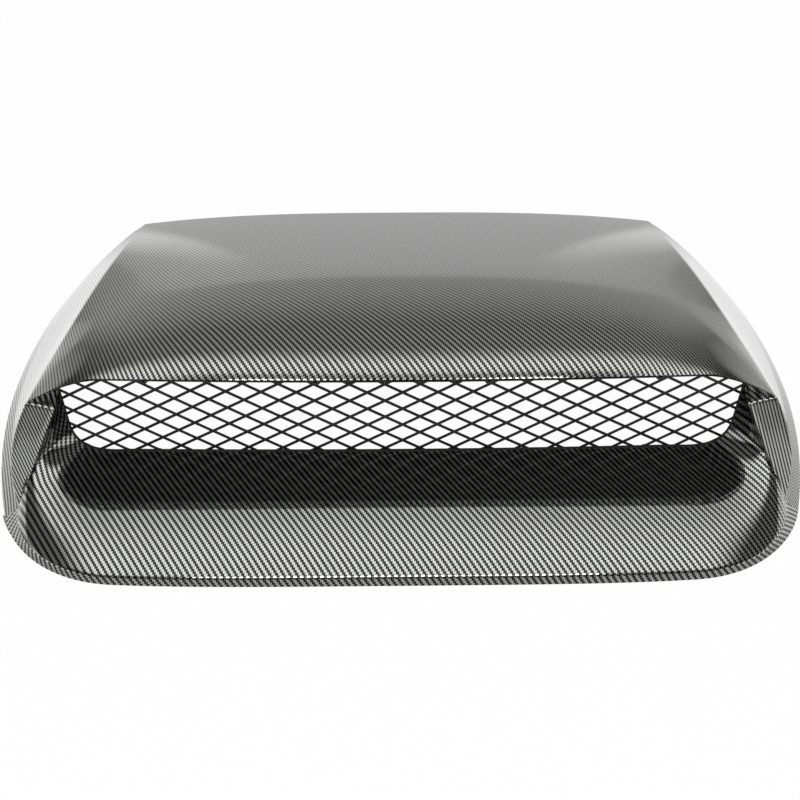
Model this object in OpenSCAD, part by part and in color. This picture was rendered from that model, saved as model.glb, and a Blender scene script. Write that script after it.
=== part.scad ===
// Bonnet scoop: one moulded shell with a wide ducted mouth, a bowed diamond mesh behind it,
// eight screws that hold the mesh, and foam tape with its release liner under the base flange.
// X runs across, Y from the mouth to the rear, Z up. The origin is the middle of the base.

/* [Overall size] */
// Width of the base at its widest
base_w = 740; // [640:5:840]
// Length of the base along its centre
base_l = 567; // [510:1:640]
// Height of the top before it falls away to the rear
top_h = 134; // [122:1:150]

/* [Shell] */
// Thickness of the moulded wall
wall = 3; // [2.5:0.1:4]
// Half width of the top at the mouth, crease to centre
crease_front = 308; // [296:1:314]
// Half width of the top at the rear, crease to centre
crease_rear = 290; // [280:1:296]
// Drop from the flat part of the lip to the crease at the mouth
crease_fall = 22; // [16:1:30]
// Height of the crease at the rear end
crease_rear_h = 11; // [8:0.5:16]
// Height of the top at the rear edge
rear_h = 16.5; // [13:0.5:20]
// Width of the lowest band along the sides
side_band = 10; // [6:0.5:14]
// Outward swell of the side panels
side_bulge = 4; // [2:0.5:12]

/* [Mouth] */
// Drop from the top to the middle of the lip
lip_fall = 13; // [8:1:22]
// Height that the lip loses over its flat middle part
lip_crown = 3; // [0:0.5:6]
// Half width of the flat middle part of the lip
lip_flat = 250; // [220:1:262]
// Distance by which the middle of the lip stands in front of the pillar plane
lip_bow = 13.3; // [6:0.1:20]
// Angle by which the pillar faces lean back
pillar_lean = 20; // [14:0.5:26]
// Distance from the front edge back to the foot of the pillars
pillar_foot = 80; // [70:0.5:92]
// Half width between the top inner corners of the pillar faces
pillar_top_x = 284; // [272:1:290]
// Drop from the crease to the top inner corners of the pillar faces
pillar_fall = 5; // [2:0.5:10]
// Distance by which the middle of the front edge stands in front of its ends
front_bow = 4; // [0:0.5:8]
// Height of the rim along the front edge
rim_h = 7.5; // [6:0.5:11]
// Height of the foot of the pillars
foot_h = 10; // [8:0.5:14]

/* [Window and seat] */
// Distance from the front edge back to the middle of the window
window_back = 119.5; // [115:0.5:127]
// Distance by which the ends of the window lie behind its middle
window_bow = 12; // [4:0.5:16]
// Height of the sill in the middle
sill_h = 37; // [30:0.5:44]
// Height of the sill at its ends
sill_end_h = 32.5; // [27:0.5:38]
// Half width of the window
window_x = 284; // [270:1:288]
// Depth of the window's top edge below the lip
window_drop = 9; // [8:0.5:14]
// Width of the seat round the window
seat_w = 10; // [9:0.5:11]
// Thickness of the seat
seat_t = 2.5; // [2:0.1:4]

/* [Mesh] */
// Distance between two crossings along the mesh
mesh_pitch_x = 29.2; // [22:0.1:36]
// Distance between two crossings up the mesh
mesh_pitch_z = 17.3; // [13:0.1:24]
// Width of a strand
strand_w = 3.6; // [2.6:0.1:5]
// Thickness of the strands
mesh_t = 2; // [1.5:0.1:3]
// Thickness of the rim round the mesh
mesh_rim_t = 2.8; // [2.4:0.1:4]
// Gap between the seat and the rim of the mesh
mesh_gap = 0.1; // [0.05:0.05:0.3]

/* [Fixings] */
// Diameter of the screw heads
screw_head_d = 7; // [6:0.1:8.5]
// Diameter of the screw shanks
screw_d = 2.9; // [2.5:0.1:3.5]
// Length of the screw shanks
screw_l = 9; // [7:0.5:12]
// Gap round a shank in its boss and in the mesh rim
screw_gap = 0.15; // [0.1:0.05:0.3]
// Diameter of the screw bosses
boss_d = 8; // [7:0.5:9]
// Distance between neighbouring screws
screw_pitch = 140; // [110:5:150]

/* [Tape and flange] */
// Width of the base flange
flange_w = 20; // [18:0.5:26]
// Thickness of the base flange
flange_t = 2.5; // [2:0.1:4]
// Width of the foam tape
tape_w = 10; // [6:0.5:12]
// Thickness of the foam tape
tape_t = 1; // [0.8:0.1:1.5]
// Thickness of the release liner
liner_t = 0.25; // [0.15:0.05:0.4]
// Distance from the outer edge to the tape
tape_inset = 6; // [4:0.5:8]
// Height of the shell's edge above the face that it stands on
edge_gap = 0.6; // [0.4:0.1:0.8]

/* [Hidden] */

shell_color = "#3b3d3d";
half_w = base_w / 2;
front_y = -base_l / 2;
// Heights at the mouth, each worked out from the one above it
lip_h = top_h - lip_fall;
crease_h = lip_h - lip_crown - crease_fall;
pillar_top_z = crease_h - pillar_fall;
// Columns and rows of the lofted panels
lip_cols = 10;
top_rows = 12;
side_rows = 4;
inner_rows = side_rows - 1;
corner_cols = 7;
front_cols = 4;
duct_rows = 5;
// Half width and depth of the straight part of the front edge and of the rear edge
front_flat = 235;
rear_narrow = 67;
rear_x = half_w - rear_narrow;
rear_bow = 15.5;
rear_inset = 6;
// Distance back to the widest place of the base, and how much the sides draw in from there
widest_back = 265.5;
foot_draw = 34;

// A point on the surface, from across, distance behind the front edge and height above the edge
function place(p) = [p[0], p[1] + front_y, p[2] + edge_gap];
function mix(a, b, t) = a + (b - a) * t;
function bezier(a, b, c, d, t) =
    a * pow(1 - t, 3) + 3 * b * t * pow(1 - t, 2) + 3 * c * t * t * (1 - t) + d * pow(t, 3);
function flip(p) = [-p[0], p[1], p[2]];
function unit(v) = v / norm(v);
function reversed(list) = [for (i = [len(list) - 1:-1:0]) list[i]];

// Half width of the base at a distance behind the front edge
foot_v = pillar_foot;
rear_v = base_l - rear_bow;
function base_x(v) = v < widest_back
    ? half_w - foot_draw * pow((widest_back - v) / (widest_back - foot_v), 2)
    : half_w - (half_w - rear_x) * pow((v - widest_back) / (rear_v - widest_back), 2.1);

// The leaning plane of the pillar faces
function plane_v(z) = foot_v + tan(pillar_lean) * z;

// The lip from its middle (u = 0) to its corner (u = 1)
function lip_z(u) = let (x = abs(u) * crease_front, past = max(0, x - lip_flat))
    lip_h - lip_crown * pow(min(1, x / lip_flat), 2)
    - (lip_h - lip_crown - crease_h) * pow(past / (crease_front - lip_flat), 1.5);
function lip_v(u) = plane_v(lip_z(u)) - lip_bow * (1 - u * u);
function lip(u) = [u * crease_front, lip_v(u), lip_z(u)];

// The crease along the top, by distance behind the front edge
crease_v0 = plane_v(crease_h);
crease_v1 = rear_v - rear_inset + 2;
function crease_x(v) = mix(crease_rear, crease_front, exp(-(v - crease_v0) / 150));
function crease_z(v) = crease_h
    - (crease_h - crease_rear_h) * pow(max(0, v - crease_v0) / (crease_v1 - crease_v0), 1.8);

// The centre line of the top
knee_v = 157.5;
knee_r = 60;
function bend(q) = sqrt(q * q + knee_r * knee_r) - knee_r;
function centre_z(v) = top_h
    - (top_h - rear_h) * bend(max(0, v - knee_v)) / bend(base_l - rear_inset - knee_v);
// The section across is flat with drooping sides at the lip and a plain crown at the rear
function crown_power(v) = 2.6 + 2.6 * exp(-max(0, v - crease_v0) / 160);
function crowned_z(u, v) = crease_z(v)
    + (centre_z(v) - crease_z(v)) * (1 - pow(abs(u), crown_power(v)));
// The nose of the lip rounds down to the edge of the mouth
nose_len = 9;
function top_z(u, v) = crowned_z(u, v)
    - (crowned_z(u, lip_v(u)) - lip_z(u)) * exp(-(v - lip_v(u)) / nose_len);

// The steps across follow a sine, so that they close up toward the drooping corners
function across(i) = sin(90 * i / lip_cols);
function along(j) = pow(j / top_rows, 1.8);
function top_end_v(u) = base_l - rear_inset - (base_l - rear_inset - crease_v1) * pow(abs(u), 4);
function top_point(i, j) =
    let (u = across(i), v = mix(lip_v(u), top_end_v(u), along(j)))
    [u * crease_x(v), v, top_z(u, v)];

// The side section: crease, swollen panel, lowest band and base edge
function side_v(j) = mix(foot_v, rear_v, along(j));
function base_side(j) = [base_x(side_v(j)), side_v(j), 0];
function band_inset(j) = side_band + 2.7 * exp(-(side_v(j) - foot_v) / 40);
function band_side(j) =
    let (c = top_point(lip_cols, j), b = base_side(j), t = min(foot_h / c[2], 0.6))
    [b[0] - min(band_inset(j), 0.6 * (b[0] - c[0])), mix(b[1], c[1], t), t * c[2]];
front_bulge = 14;
function bulge(j) = (side_bulge + front_bulge * exp(-(side_v(j) - foot_v) / 60))
    * (1 - pow(along(j), 6));
function section(c, b, out, t) = c * pow(1 - t, 2)
    + 2 * ((c + b) / 2 + [out, 0, 0]) * t * (1 - t) + b * t * t;
function side_point(j, k) = k == 0
    ? base_side(j)
    : section(top_point(lip_cols, j), band_side(j), bulge(j), 1 - (k - 1) / (side_rows - 1));

// The rear band carries on round from the last column of the sides
function rear_base(i) = let (u = across(i))
    [u * rear_x, base_l - rear_bow * pow(abs(u), 4), 0];
function rear_point(i, k) =
    let (c = top_point(i, top_rows), b = rear_base(i))
    k == 0 ? b : mix(mix(b, c, 0.6), c, (k - 1) / (side_rows - 1));

// The front edge from the foot of a pillar (t = 0) round the corner to the middle (t = 1)
rim_back = 2;
function front_bowed(t) = front_bow * pow(2 * (1 - t), 4);
function rim_point(t) = t < 0.5
    ? bezier([band_side(0)[0], band_side(0)[1], foot_h], [crease_front + 14, foot_v * 0.69, 9],
             [crease_front - 12, front_bow + 6.5, rim_h],
             [front_flat, front_bow + rim_back, rim_h], t * 2)
    : [front_flat * 2 * (1 - t), front_bowed(t) + rim_back, rim_h];
function front_base(t) = t < 0.5
    ? bezier([base_x(foot_v), foot_v, 0], [base_x(foot_v) - 8, foot_v * 0.71, 0],
             [crease_front - 11, front_bow + 5.5, 0], [front_flat, front_bow, 0], t * 2)
    : [front_flat * 2 * (1 - t), front_bowed(t), 0];
front_steps = corner_cols + front_cols;
function front_t(i) = i <= corner_cols
    ? 0.5 * i / corner_cols : 0.5 + 0.5 * (i - corner_cols) / front_cols;

// Half of the mouth's edge, from the middle of the lip to the middle of the front edge
pillar_inner_top = [pillar_top_x, plane_v(pillar_top_z), pillar_top_z];
function pillar_inner(i) = mix(pillar_inner_top, rim_point(0), i / inner_rows);
mouth_half = concat(
    [for (i = [0:lip_cols]) lip(across(i))],
    [for (i = [0:inner_rows - 1]) pillar_inner(i)],
    [for (i = [0:front_steps]) rim_point(front_t(i))]);

// The window's edge in the same order, as across and height
function window_top(u) = let (x = u * window_x, lip_u = x / crease_front)
    [x, lip_z(lip_u) - window_drop];
window_low = [window_x - 2, sill_h + 21];
function window_corner(t) = bezier(window_low, [window_x - 4, sill_h - 1],
    [window_x - 18, sill_end_h - 4.5], [front_flat, sill_end_h], t);
window_corner_top = window_top(1);
window_half = concat(
    [for (i = [0:lip_cols]) window_top(across(i))],
    [for (i = [0:inner_rows - 1])
        mix(window_corner_top - [0, 3], window_low, i / inner_rows)],
    [for (i = [0:front_steps]) let (t = front_t(i))
        t < 0.5 ? window_corner(t * 2)
        : [front_flat * 2 * (1 - t), mix(sill_end_h, sill_h, 1 - pow(2 * (1 - t), 2))]]);
function window_v(x) = window_back + window_bow * pow(x / window_x, 2);

// How much of a rib of the duct follows the ramp's profile: all of it in front, none at the sides
function ramp_share(n) = let (i = n - lip_cols - inner_rows - 1) i < 0 ? 0 : min(1, i / corner_cols);
ramp_swell = 1.35;
function ramp(t) = t + ramp_swell * t * pow(1 - t, 2);
function duct_point(n, r) =
    let (m = mouth_half[n], w = window_half[n], t = r / duct_rows,
         rise = mix(t, ramp(t), ramp_share(n)))
    [mix(m[0], w[0], t), mix(m[1], window_v(w[0]), t), mix(m[2], w[1], rise)];

// A closed loop from a half that runs from the upper middle to the lower middle
function closed(half) = concat([for (i = [0:len(half) - 1]) flip(half[i])],
    [for (i = [len(half) - 2:-1:1]) half[i]]);
function flat_flip(p) = [-p[0], p[1]];
window_loop = concat([for (p = window_half) flat_flip(p)],
    [for (i = [len(window_half) - 2:-1:1]) window_half[i]]);

// The window's edge moved outward by a distance
function grown(loop, d) = [for (i = [0:len(loop) - 1])
    let (n = len(loop), a = loop[(i + n - 1) % n], b = loop[(i + 1) % n], s = unit(b - a))
    loop[i] + d * [s[1], -s[0]]];
// A ring round the window, kept a distance below the outer face of the top
function lid_z(x) = let (v = window_v(x)) top_z(min(1, abs(x) / crease_x(v)), v);
function window_ring(d, back, below_lid) = [for (p = grown(window_loop, d))
    [p[0], window_v(p[0]) + back, min(p[1], lid_z(p[0]) - below_lid)]];

// A wall of even thickness behind a grid of points: rows of columns, seen from its outer side
function grid_normal(g, i, j, wrap) =
    let (rows = len(g), cols = len(g[0]),
         a = g[i][wrap ? (j + 1) % cols : min(j + 1, cols - 1)],
         b = g[i][wrap ? (j + cols - 1) % cols : max(j - 1, 0)],
         c = g[min(i + 1, rows - 1)][j], d = g[max(i - 1, 0)][j])
    unit(cross(a - b, c - d));
// Two triangles for a four-sided face, split along its first diagonal or its second
function two(a, b, c, d, second) = second ? [[a, b, d], [b, c, d]] : [[a, b, c], [a, c, d]];
module panel(g, thick, wrap = false) {
    rows = len(g);
    cols = len(g[0]);
    last = wrap ? cols - 1 : cols - 2;
    back = rows * cols;
    outer = [for (i = [0:rows - 1]) for (j = [0:cols - 1]) place(g[i][j])];
    inner = [for (i = [0:rows - 1]) for (j = [0:cols - 1])
        place(g[i][j] - thick * grid_normal(g, i, j, wrap))];
    function at(i, j) = i * cols + j % cols;
    // The left half is split as the mirror image of the right half
    function left(j) = g[0][j][0] + g[0][(j + 1) % cols][0] < 0;
    faces = concat(
        [for (i = [0:rows - 2]) for (j = [0:last])
            each two(at(i, j), at(i + 1, j), at(i + 1, j + 1), at(i, j + 1), left(j))],
        [for (i = [0:rows - 2]) for (j = [0:last])
            each two(back + at(i, j), back + at(i, j + 1), back + at(i + 1, j + 1),
                     back + at(i + 1, j), left(j))],
        [for (j = [0:last])
            each two(at(0, j), at(0, j + 1), back + at(0, j + 1), back + at(0, j), left(j))],
        [for (j = [0:last])
            each two(at(rows - 1, j + 1), at(rows - 1, j), back + at(rows - 1, j),
                     back + at(rows - 1, j + 1), left(j))],
        wrap ? [] : [for (i = [0:rows - 2])
            each two(at(i + 1, 0), at(i, 0), back + at(i, 0), back + at(i + 1, 0), false)],
        wrap ? [] : [for (i = [0:rows - 2])
            each two(at(i + 1, cols - 1), back + at(i + 1, cols - 1), back + at(i, cols - 1),
                     at(i, cols - 1), false)]);
    polyhedron(points = concat(outer, inner), faces = faces, convexity = 6);
}

// A plate that tapers to a tip, with a second set of points for its back. The points run
// clockwise seen from its outer side, and the tip stands in the middle of the list.
module tapered_plate(points, behind) {
    n = len(points);
    steps = (n - 1) / 2;
    function near(i) = (n - i) % n;
    faces = concat([for (i = [0:steps - 2]) each two(near(i), i + 1, i + 2, near(i + 1), false)],
                   [[near(steps - 1), steps, steps + 1]]);
    back_faces = [for (f = faces) [n + f[2], n + f[1], n + f[0]]];
    sides = [for (i = [0:n - 1]) each two(i, n + i, n + (i + 1) % n, (i + 1) % n, false)];
    polyhedron(points = [for (p = concat(points, behind)) place(p)],
        faces = concat(faces, back_faces, sides), convexity = 4);
}

// Outline of the base, anticlockwise from the right foot of the pillars
base_half = concat([for (j = [0:top_rows]) base_side(j)],
                   [for (i = [lip_cols - 1:-1:0]) rear_base(i)]);
base_front = [for (i = [1:front_steps]) front_base(front_t(i))];
base_right = concat(reversed(base_front), base_half);
base_outline = concat(base_right, [for (i = [len(base_right) - 2:-1:1]) flip(base_right[i])]);
module base_shape(inset) {
    offset(delta = -inset) polygon([for (p = base_outline) [p[0], p[1] + front_y]]);
}
module base_ring(inset, width) {
    difference() {
        base_shape(inset);
        base_shape(inset + width);
    }
}

module top_panel() {
    panel([for (j = [0:top_rows]) concat(
        [for (i = [lip_cols:-1:1]) flip(top_point(i, j))],
        [for (i = [0:lip_cols]) top_point(i, j)])], wall);
}

module side_panel() {
    panel([for (k = [0:side_rows]) [for (j = [0:top_rows]) side_point(j, k)]], wall);
}

module rear_band() {
    panel([for (k = [0:side_rows]) concat(
        [for (i = [lip_cols:-1:0]) rear_point(i, k)],
        [for (i = [1:lip_cols]) flip(rear_point(i, k))])], wall);
}

// The back of the pillar face runs into the walls beside it, so that no seam stays open
module pillar_face() {
    outer_edge = [for (k = [side_rows:-1:1]) side_point(0, k)];
    outer_back = [for (k = [side_rows:-1:2]) side_point(0, k) + [-1.2, wall, 0]];
    inner_edge = [for (i = [inner_rows - 1:-1:1]) pillar_inner(i)];
    top_back = pillar_inner(0) + [0.9, wall, 0];
    tip_back = rim_point(0) + [-wall / 2, wall, wall];
    inner_back = [for (i = [inner_rows - 1:-1:1]) mix(top_back, tip_back, i / inner_rows)];
    tapered_plate(concat([pillar_inner(0)], outer_edge, inner_edge),
                  concat([top_back], outer_back, [tip_back], inner_back));
}

module front_rim() {
    // One column more at each end lies inside the side panel
    under = [-wall / 4, 0, 0];
    rim = concat([side_point(1, 1) + under], [for (i = [0:front_steps]) rim_point(front_t(i))]);
    foot = concat([side_point(1, 0) + under], [for (i = [0:front_steps]) front_base(front_t(i))]);
    last = front_steps;
    panel([concat(rim, [for (i = [last:-1:0]) flip(rim[i])]),
           concat(foot, [for (i = [last:-1:0]) flip(foot[i])])], wall);
}

module duct() {
    last = len(mouth_half) - 1;
    panel([for (r = [0:duct_rows]) closed([for (n = [0:last]) duct_point(n, r)])], wall, true);
}

// The seat stands a little proud of the duct's end, in front and at the window's edge
seat_proud = 0.3;
module window_seat() {
    panel([window_ring(-seat_proud, seat_t, wall / 2), window_ring(seat_w, seat_t, wall / 2)],
          seat_t + seat_proud, true);
}

// The screws stand in two rows of four, above and below the window
screw_in = seat_w / 2 + 0.5;
function screw_x(n) = ((n - 1) % 4 - 1.5) * screw_pitch;
function screw_u(n) = screw_x(n) / window_x;
function sill_at(x) = mix(sill_h, sill_end_h, pow(x / front_flat, 2));
function screw_z(n) = n <= 4
    ? window_top(screw_u(n))[1] + screw_in
    : sill_at(screw_x(n)) - screw_in;
function screw_v(n) = window_v(screw_x(n)) + seat_t + mesh_gap + mesh_rim_t;
module at_screw(n) {
    translate(place([screw_x(n), screw_v(n), screw_z(n)])) rotate([90, 0, 0]) children();
}
boss_sunk = 0.8;
module screw_boss(n) {
    at_screw(n) translate([0, 0, mesh_rim_t + mesh_gap + boss_sunk]) hull() {
        cylinder(d = boss_d + 1, h = seat_t, $fn = 16);
        cylinder(d = boss_d, h = screw_l - boss_sunk, $fn = 16);
    }
}

module scoop_shell() color(shell_color) {
    difference() {
        union() {
            top_panel();
            for (side = [0, 1]) mirror([side, 0, 0]) {
                side_panel();
                pillar_face();
            }
            rear_band();
            front_rim();
            duct();
            window_seat();
            translate([0, 0, tape_t + liner_t])
                linear_extrude(flange_t) base_ring(wall / 2, flange_w);
            for (n = [1:8]) screw_boss(n);
        }
        for (n = [1:8]) at_screw(n)
            translate([0, 0, -1]) cylinder(d = screw_d + 2 * screw_gap, h = screw_l + 1.5, $fn = 16);
        translate([-base_w, -base_l, -wall]) cube([2 * base_w, 2 * base_l, wall + edge_gap]);
    }
}

// The two sets of strands cross in rhombuses that stand in columns, every second column half a
// pitch higher. One corner of the mesh is set so that a crossing lies a little left of the middle.
mesh_slope = atan2(mesh_pitch_z, mesh_pitch_x);
cross_x = strand_w / 2 / sin(mesh_slope);
cross_z = strand_w / 2 / cos(mesh_slope);
strand_back = seat_t + mesh_gap + (mesh_rim_t - mesh_t) / 2;
mesh_offset = -4.7;
mesh_cols = 2 * ceil((window_x + seat_w) / mesh_pitch_x) + 1;
mesh_rows = ceil((lip_h - sill_end_h + seat_w) / mesh_pitch_z);
mesh_top = 102.8;
mesh_low = mesh_top - (mesh_rows - 1) * mesh_pitch_z;
function crossing(i, k) = [mesh_offset + i * mesh_pitch_x / 2,
    mesh_low + (k + (i % 2 == 0 ? 0 : 0.5)) * mesh_pitch_z];
// Eight points a crossing: right, top, left and bottom, in front and then behind
function crossing_points(i, k) = let (c = crossing(i, k))
    [for (back = [0, mesh_t]) for (d = [[cross_x, 0], [0, cross_z], [-cross_x, 0], [0, -cross_z]])
        place([c[0] + d[0], window_v(c[0]) + strand_back + back, c[1] + d[1]])];
module mesh_lattice() {
    n = mesh_cols;
    function at(i, k, m) = 8 * ((i + n) * (mesh_rows + 1) + k) + m;
    function above(i, k) = i % 2 == 0 ? k : k + 1;
    function inside(i, k) = i >= -n && i <= n && k >= 0 && k <= mesh_rows;
    // A bar between side a-b of one crossing and side c-d of the next, or the closed side
    function bar(i, k, a, b, ni, nk, c, d) = [
        [at(i, k, a), at(ni, nk, c), at(ni, nk, d), at(i, k, b)],
        [at(i, k, b + 4), at(ni, nk, d + 4), at(ni, nk, c + 4), at(i, k, a + 4)],
        [at(ni, nk, c), at(i, k, a), at(i, k, a + 4), at(ni, nk, c + 4)],
        [at(i, k, b), at(ni, nk, d), at(ni, nk, d + 4), at(i, k, b + 4)]];
    function closed_side(i, k, a, b) = [[at(i, k, a), at(i, k, b), at(i, k, b + 4), at(i, k, a + 4)]];
    faces = [for (i = [-n:n]) for (k = [0:mesh_rows]) let (up = above(i, k), down = up - 1)
        each concat(
            [[for (m = [0, 3, 2, 1]) at(i, k, m)], [for (m = [4:7]) at(i, k, m)]],
            inside(i + 1, up) ? bar(i, k, 1, 0, i + 1, up, 2, 3) : closed_side(i, k, 0, 1),
            inside(i + 1, down) ? bar(i, k, 0, 3, i + 1, down, 1, 2) : closed_side(i, k, 3, 0),
            inside(i - 1, down) ? [] : closed_side(i, k, 2, 3),
            inside(i - 1, up) ? [] : closed_side(i, k, 1, 2))];
    polyhedron(points = [for (i = [-n:n]) for (k = [0:mesh_rows]) each crossing_points(i, k)],
               faces = faces, convexity = 10);
}
// The rim is a flat bowed band with a longer pad round each screw
pad_d = seat_w - 1.6;
module mesh_grille() color("#141414") {
    rim_in = 1;
    rim_out = seat_w - 1;
    rim_clear = wall * 1.6;
    rim_back = seat_t + mesh_gap + mesh_rim_t;
    difference() {
        union() {
            intersection() {
                mesh_lattice();
                translate(place([0, window_v(window_x) + 20, 0])) rotate([90, 0, 0])
                    linear_extrude(60) polygon(grown(window_loop, rim_in + 1));
            }
            panel([window_ring(rim_in, rim_back, rim_clear),
                   window_ring(rim_out, rim_back, rim_clear)], mesh_rim_t, true);
            for (n = [1:8]) at_screw(n) hull() for (x = [-4, 4]) translate([x, 0, -0.2])
                cylinder(d = pad_d, h = mesh_rim_t, $fn = 24);
        }
        for (n = [1:8]) at_screw(n)
            translate([0, 0, -4]) cylinder(d = screw_d + 2 * screw_gap, h = 12, $fn = 16);
    }
}

module grille_screw(n) color("#2a2c2e") {
    at_screw(n) translate([0, 0, -0.2]) {
        cylinder(d = screw_d, h = screw_l, $fn = 24);
        translate([0, 0, -1.9]) difference() {
            union() {
                translate([0, 0, 1.2]) cylinder(d = screw_head_d, h = 0.7, $fn = 32);
                translate([0, 0, 0.35]) cylinder(d = screw_head_d * 0.74, h = 1.2, $fn = 32);
                cylinder(d = screw_head_d * 0.6, h = 1.2, $fn = 32);
            }
            for (a = [0, 90]) rotate(a) translate([-1.6, -0.35, -1]) cube([3.2, 0.7, 2.1]);
        }
    }
}

// The tape's runs end at these distances from the front edge and from the middle
tape_v0 = 120;
tape_v1 = 490;
tape_x = 225;
tape_reach = 60;
module tape_area(place_name) {
    if (place_name == "front") translate([-tape_x, front_y - tape_reach])
        square([2 * tape_x, 2 * tape_reach]);
    if (place_name == "rear") translate([-tape_x, -front_y - tape_reach])
        square([2 * tape_x, 2 * tape_reach]);
    if (place_name == "right") translate([half_w - 2 * rear_narrow, front_y + tape_v0])
        square([base_w, tape_v1 - tape_v0]);
    if (place_name == "left") mirror([1, 0]) tape_area("right");
}
module tape(place_name) color("#3a3a3c") {
    translate([0, 0, liner_t]) linear_extrude(tape_t) intersection() {
        base_ring(tape_inset, tape_w);
        tape_area(place_name);
    }
}
module liner(place_name) color("#c98f88") {
    linear_extrude(liner_t) {
        intersection() {
            base_ring(tape_inset, tape_w);
            tape_area(place_name);
        }
        if (place_name == "front") liner_tail();
    }
}
// The free end of the front liner bends round the left corner and stands out past the edge
tail_w = 8;
module liner_tail() {
    route = [for (k = [0:8]) bezier([-tape_x + 1, tape_inset + tape_w / 2],
        [-tape_x - 50, tape_inset + tape_w / 2 - 1], [-tape_x - 92, 30], [-tape_x - 113, 84], k / 8)];
    for (k = [0:7]) hull() {
        translate([0, front_y]) translate(route[k]) circle(d = tail_w, $fn = 24);
        translate([0, front_y]) translate(route[k + 1]) circle(d = tail_w, $fn = 24);
    }
}

scoop_shell();
mesh_grille();
grille_screw(1);  // grille_screw_1
grille_screw(2);  // grille_screw_2
grille_screw(3);  // grille_screw_3
grille_screw(4);  // grille_screw_4
grille_screw(5);  // grille_screw_5
grille_screw(6);  // grille_screw_6
grille_screw(7);  // grille_screw_7
grille_screw(8);  // grille_screw_8
tape("front");  // tape_front
tape("rear");  // tape_rear
tape("left");  // tape_left
tape("right");  // tape_right
liner("front");  // liner_front
liner("rear");  // liner_rear
liner("left");  // liner_left
liner("right");  // liner_right
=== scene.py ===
import math

import bmesh
import bpy
import numpy as np
from bpy.props import FloatProperty, FloatVectorProperty, IntProperty, PointerProperty
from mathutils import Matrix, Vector


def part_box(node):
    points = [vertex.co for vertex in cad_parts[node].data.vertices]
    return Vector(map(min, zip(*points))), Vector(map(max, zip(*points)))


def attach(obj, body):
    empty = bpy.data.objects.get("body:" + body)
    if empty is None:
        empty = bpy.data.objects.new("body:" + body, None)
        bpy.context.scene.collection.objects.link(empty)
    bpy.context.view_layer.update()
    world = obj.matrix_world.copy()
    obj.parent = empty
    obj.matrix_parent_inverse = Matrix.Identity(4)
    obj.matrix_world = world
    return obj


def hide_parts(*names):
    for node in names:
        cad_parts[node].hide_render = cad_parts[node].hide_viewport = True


bl_info = {
    "name": "Bonnet scoop",
    "version": (1, 0, 0),
    "blender": (4, 5, 0),
    "location": "3D View > Sidebar > Scoop",
    "description": "A carbon fibre bonnet scoop with its mesh, screws and mounting tape",
    "category": "Object",
}

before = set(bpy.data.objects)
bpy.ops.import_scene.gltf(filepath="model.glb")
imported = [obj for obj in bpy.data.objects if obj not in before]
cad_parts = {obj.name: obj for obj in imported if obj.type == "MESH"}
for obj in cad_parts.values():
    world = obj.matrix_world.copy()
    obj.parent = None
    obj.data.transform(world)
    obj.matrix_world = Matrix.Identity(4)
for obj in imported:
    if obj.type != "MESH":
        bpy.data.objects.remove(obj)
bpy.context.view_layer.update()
shell_low, shell_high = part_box("scoop_shell")

MM = 0.001
HALF_WIDTH = (shell_high.x - shell_low.x) / 2
BASE_LENGTH = shell_high.y - shell_low.y
TOP_HEIGHT = shell_high.z - shell_low.z
# Height of the shell's lower edge above the face that it stands on
EDGE_GAP = shell_low.z


def metres(name, value, description):
    """A property that holds a length in metres."""
    return FloatProperty(name=name, description=description, default=value, unit="LENGTH")


def tint(name, value, description):
    return FloatVectorProperty(name=name, description=description, subtype="COLOR", size=3,
                               default=value, min=0, max=1)


class ScoopSizes(bpy.types.PropertyGroup):
    """Sizes of the moulded shell and of the mesh"""

    wall: metres("Wall", 0.003, "Thickness of the moulded wall")
    crease_front: metres("Crease in front", 0.308, "Half width of the top at the mouth")
    crease_rear: metres("Crease at the rear", 0.290, "Half width of the top at the rear")
    crease_h: metres("Crease height", 0.096, "Height of the crease at the mouth")
    crease_rear_h: metres("Rear crease height", 0.011, "Height of the crease at the rear end")
    rear_h: metres("Rear height", 0.0165, "Height of the top at the rear edge")
    side_band: metres("Side band", 0.010, "Width of the lowest band along the sides")
    lip_h: metres("Lip height", 0.121, "Height of the middle of the lip")
    lip_bow: metres(
        "Lip bow", 0.0133, "Distance by which the lip stands in front of the pillar plane")
    pillar_lean: FloatProperty(
        name="Pillar lean", description="Angle by which the pillar faces lean back",
        default=math.radians(20), unit="ROTATION")
    pillar_foot: metres(
        "Pillar foot", 0.080, "Distance from the front edge back to the foot of the pillars")
    rim_h: metres("Rim height", 0.0075, "Height of the rim along the front edge")
    window_back: metres("Window depth", 0.1195, "Distance from the front edge back to the window")
    window_x: metres("Window half width", 0.284, "Half width of the window")
    sill_h: metres("Sill height", 0.037, "Height of the sill in the middle")
    edge_round: metres("Edge rounding", 0.0024, "Width of the rounding along the sharpest edges")
    mesh_pitch_x: metres("Mesh pitch across", 0.0292, "Distance between crossings along the mesh")
    mesh_pitch_z: metres("Mesh pitch up", 0.0173, "Distance between two crossings up the mesh")
    strand_w: metres("Strand width", 0.0024, "Width of a strand of the mesh")


class ScoopFinish(bpy.types.PropertyGroup):
    """Colours and weave of the finishes"""

    # Both tows are the same black fibre: the grey of the lengthwise tows is a painted sheen, and the
    # black of the crosswise tows a painted shade
    painted_sheen_tow: tint("Light tows", (0.50, 0.51, 0.485), "Colour of the tows that run lengthwise")
    painted_shade_tow: tint("Dark tows", (0.004, 0.004, 0.004), "Colour of the tows that run across")
    tow_x: metres("Lengthwise tow", 0.00133, "Width of the tows that run lengthwise")
    tow_y: metres("Crosswise tow", 0.0020, "Width of the tows that run across")
    coat_roughness: FloatProperty(
        name="Lacquer roughness", description="Roughness of the clear lacquer over the weave",
        default=0.03, subtype="FACTOR", min=0, max=1)
    strand_facets: IntProperty(
        name="Strand facets", description="Facets round a strand of the mesh",
        default=12, min=6, max=24)


def mix(a, b, t):
    return a + (b - a) * t


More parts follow.
